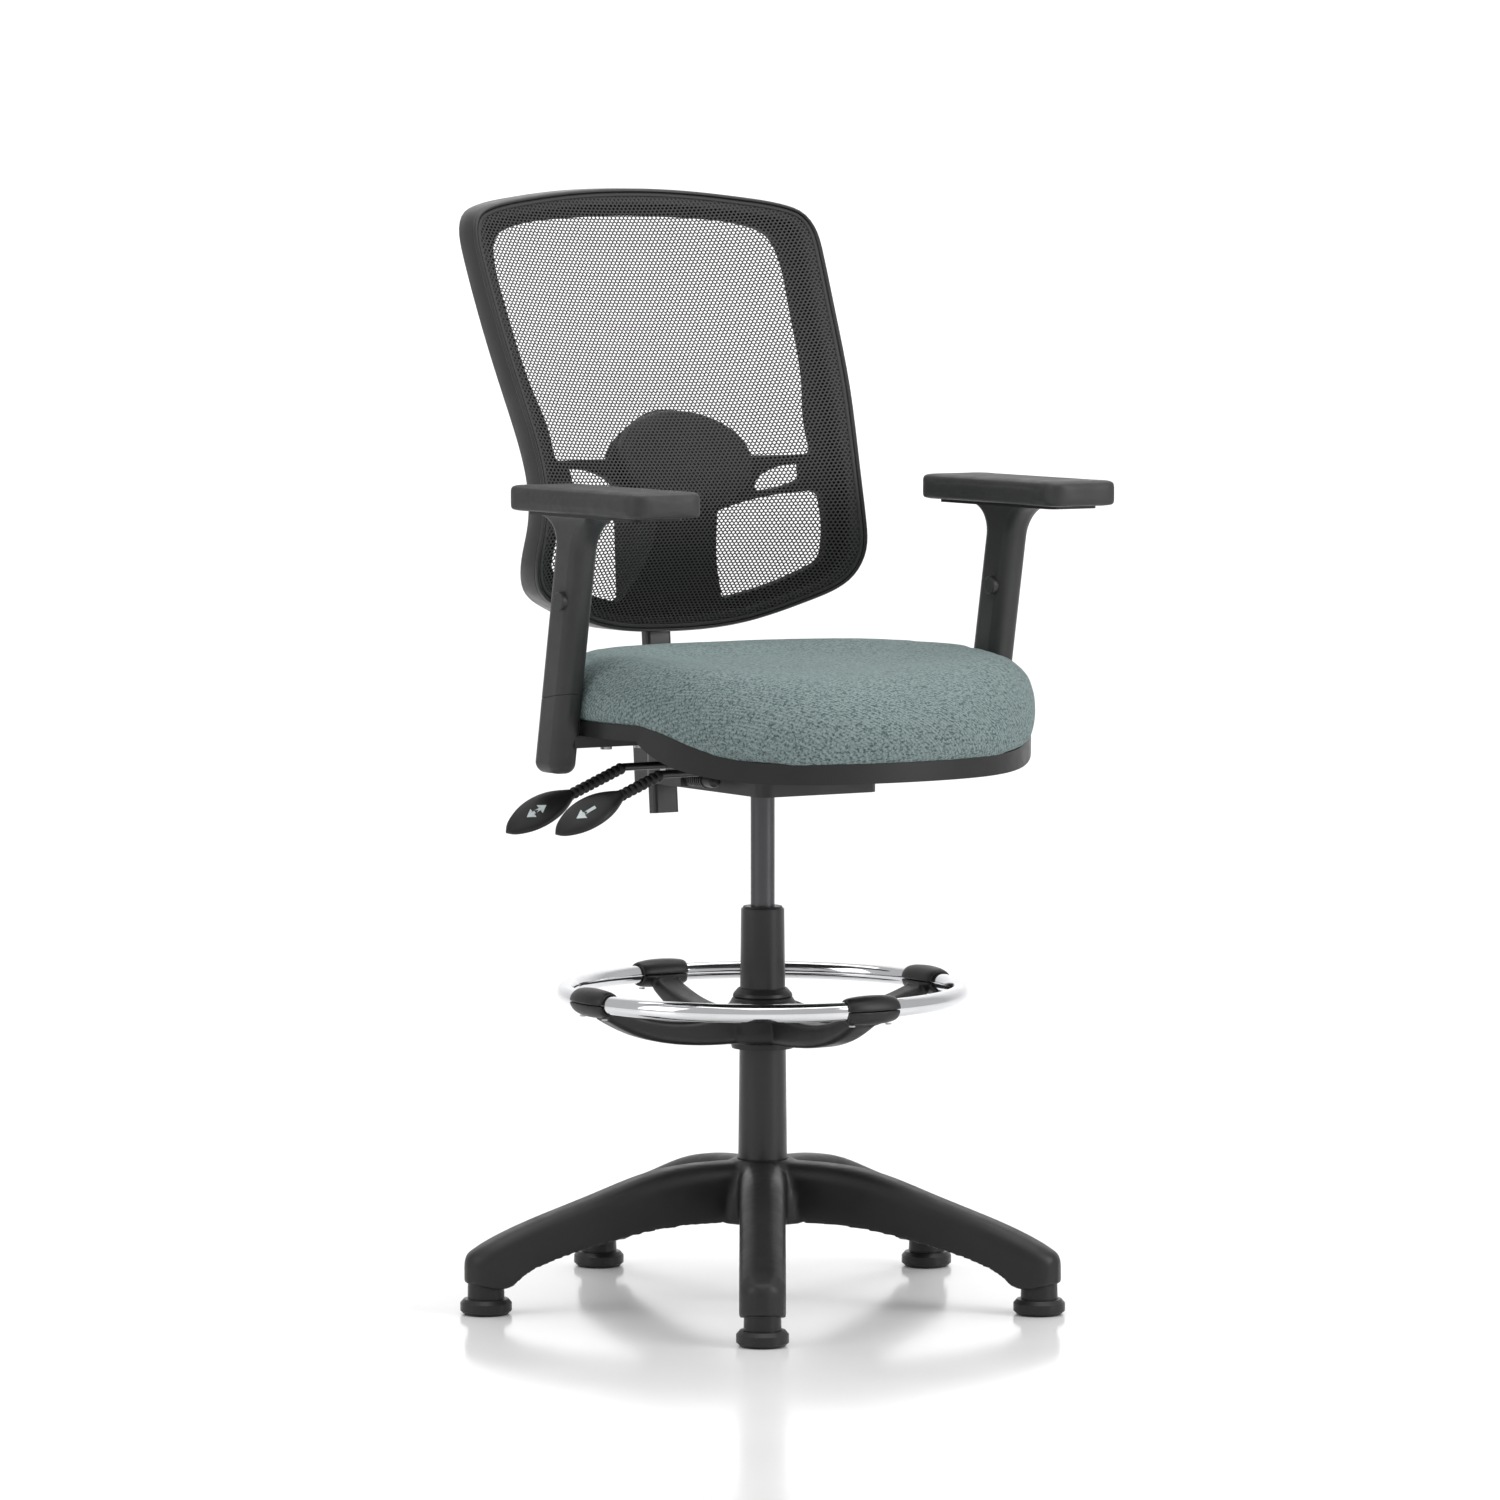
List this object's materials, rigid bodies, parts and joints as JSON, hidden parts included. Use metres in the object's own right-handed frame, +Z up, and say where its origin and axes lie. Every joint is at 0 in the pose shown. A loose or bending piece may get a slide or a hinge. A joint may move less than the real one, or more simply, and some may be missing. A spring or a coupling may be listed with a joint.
{
  "type": "drafting chair",
  "caption": "Tall swivel chair on a star base with floor glides, foot ring, gas lift, padded seat, open mesh back and height-adjustable arms.",
  "frame": {"origin": "on the floor, at the centre of the whole chair's plan box; the column's axis stands 6 mm to +X and 20.7 mm to -Y of it", "axes": "+Z up, the sitter faces -Y, +X is the sitter's left"},
  "size_m": [0.6187, 0.6064, 1.149],
  "materials": {
    "base_plastic": "satin moulded black nylon, fine grain",
    "glide_plastic": "black moulded plastic",
    "steel": "plain steel",
    "column_paint": "black satin powder coat",
    "dark_steel": "dark burnished steel",
    "bush_plastic": "black bearing plastic",
    "chrome": "polished chrome plate",
    "black_plastic": "satin moulded black plastic",
    "mechanism_paint": "black powder coat",
    "sleeve_rubber": "ribbed soft black sleeve",
    "paddle_plastic": null,
    "plywood": "raw plywood",
    "seat_fabric": "grey-teal woven upholstery",
    "mesh_fabric": "black open mesh",
    "arm_plastic": "satin dark grey plastic",
    "pad_foam": "soft dark grey moulded pad"
  },
  "bodies": {
    "base": {"star_base": "base_plastic", "glide_1": "glide_plastic", "glide_2": "glide_plastic", "glide_3": "glide_plastic", "glide_4": "glide_plastic", "glide_5": "glide_plastic", "glide_stems": "steel", "column_tube": "column_paint", "column_bush": "bush_plastic", "thrust_bearing": "steel"},
    "ring_clamp": {"ring_collar": "black_plastic", "ring_lock_nut": "black_plastic"},
    "foot_ring": {"foot_ring_hub": "black_plastic", "ring_clamp_caps": "black_plastic", "foot_ring_tube": "chrome", "ring_screws": "steel"},
    "spindle": {"piston_rod": "steel", "piston_head": "steel", "rod_clip": "steel"},
    "seat": {"gas_cylinder": "dark_steel", "taper_socket": "mechanism_paint", "mechanism_housing": "mechanism_paint", "seat_mount_plate": "mechanism_paint", "tilt_axle": "steel", "lever_axle": "steel", "seat_shell": "black_plastic", "seat_board": "plywood", "seat_cushion": "seat_fabric", "seat_bolts": "steel", "arm_bolts": "steel", "arm_bracket_left": "mechanism_paint", "arm_cover_left": "arm_plastic", "arm_bar_left": "steel", "arm_bracket_right": "mechanism_paint", "arm_cover_right": "arm_plastic", "arm_bar_right": "steel"},
    "release_pin": {"release_pin": "steel"},
    "height_lever": {"height_lever_rod": "steel", "height_lever_sleeve": "sleeve_rubber", "height_lever_paddle": "paddle_plastic"},
    "tilt_lever": {"tilt_lever_rod": "steel", "tilt_lever_sleeve": "sleeve_rubber", "tilt_lever_paddle": "paddle_plastic"},
    "tension_knob": {"tension_knob": "black_plastic"},
    "back_arm": {"back_bracket": "mechanism_paint"},
    "backrest": {"upright_bar": "column_paint", "back_rim": "black_plastic", "mesh_panel": "mesh_fabric", "back_frame": "black_plastic", "lumbar_pad": "pad_foam", "spine_cover": "black_plastic", "back_screws": "steel"},
    "arm_left": {"arm_sleeve_left": "arm_plastic", "arm_plate_left": "steel", "arm_pad_left": "pad_foam"},
    "arm_button_left": {"arm_button_left": "arm_plastic"},
    "arm_right": {"arm_sleeve_right": "arm_plastic", "arm_plate_right": "steel", "arm_pad_right": "pad_foam"},
    "arm_button_right": {"arm_button_right": "arm_plastic"}
  },
  "joints": [
    {"name": "ring_height", "type": "slide", "parent": "base", "child": "ring_clamp", "axis": [0, 0, 1], "range_m": [0, 0.03]},
    {"name": "ring_turn", "type": "hinge", "parent": "ring_clamp", "child": "foot_ring", "pos_m": [0.006, -0.0207, 0.295], "axis": [0, 0, 1], "continuous": true},
    {"name": "seat_swivel", "type": "hinge", "parent": "base", "child": "spindle", "pos_m": [0.006, -0.0207, 0.095], "axis": [0, 0, 1], "continuous": true},
    {"name": "seat_height", "type": "slide", "parent": "spindle", "child": "seat", "axis": [0, 0, 1], "range_m": [-0.09, 0.1]},
    {"name": "height_lever_lift", "type": "hinge", "parent": "seat", "child": "height_lever", "pos_m": [-0.034, -0.0187, 0.562], "axis": [0, 1, 0], "range_deg": [0, 4.5], "stiffness_Nm_per_rad": 1, "springref_deg": -5.73},
    {"name": "valve_pin_press", "type": "slide", "parent": "seat", "child": "release_pin", "axis": [0, 0, -1], "range_m": [0, 0.0031]},
    {"name": "tilt_lever_lift", "type": "hinge", "parent": "seat", "child": "tilt_lever", "pos_m": [-0.034, -0.1167, 0.562], "axis": [0, 1, 0], "range_deg": [0, 8], "stiffness_Nm_per_rad": 1, "springref_deg": -5.73},
    {"name": "tension_turn", "type": "hinge", "parent": "seat", "child": "tension_knob", "pos_m": [-0.086, -0.0407, 0.548], "axis": [0, 1, 0], "continuous": true},
    {"name": "back_tilt", "type": "hinge", "parent": "seat", "child": "back_arm", "pos_m": [0.006, 0.0543, 0.553], "axis": [-1, 0, 0], "range_deg": [0, 15]},
    {"name": "back_height", "type": "slide", "parent": "back_arm", "child": "backrest", "axis": [0, 0.0837, 0.9965], "range_m": [0, 0.06]},
    {"name": "arm_left_height", "type": "slide", "parent": "seat", "child": "arm_left", "axis": [0, -0.1891, 0.982], "range_m": [0, 0.06]},
    {"name": "arm_left_button_press", "type": "slide", "parent": "arm_left", "child": "arm_button_left", "axis": [1, 0, 0], "range_m": [0, 0.004], "stiffness_N_per_m": 400},
    {"name": "arm_right_height", "type": "slide", "parent": "seat", "child": "arm_right", "axis": [0, -0.1891, 0.982], "range_m": [0, 0.06]},
    {"name": "arm_right_button_press", "type": "slide", "parent": "arm_right", "child": "arm_button_right", "axis": [1, 0, 0], "range_m": [0, 0.004], "stiffness_N_per_m": 400}
  ],
  "couplings": [
    {"joint": "valve_pin_press", "follows": "height_lever_lift", "m_per_rad": 0.039469}
  ]
}
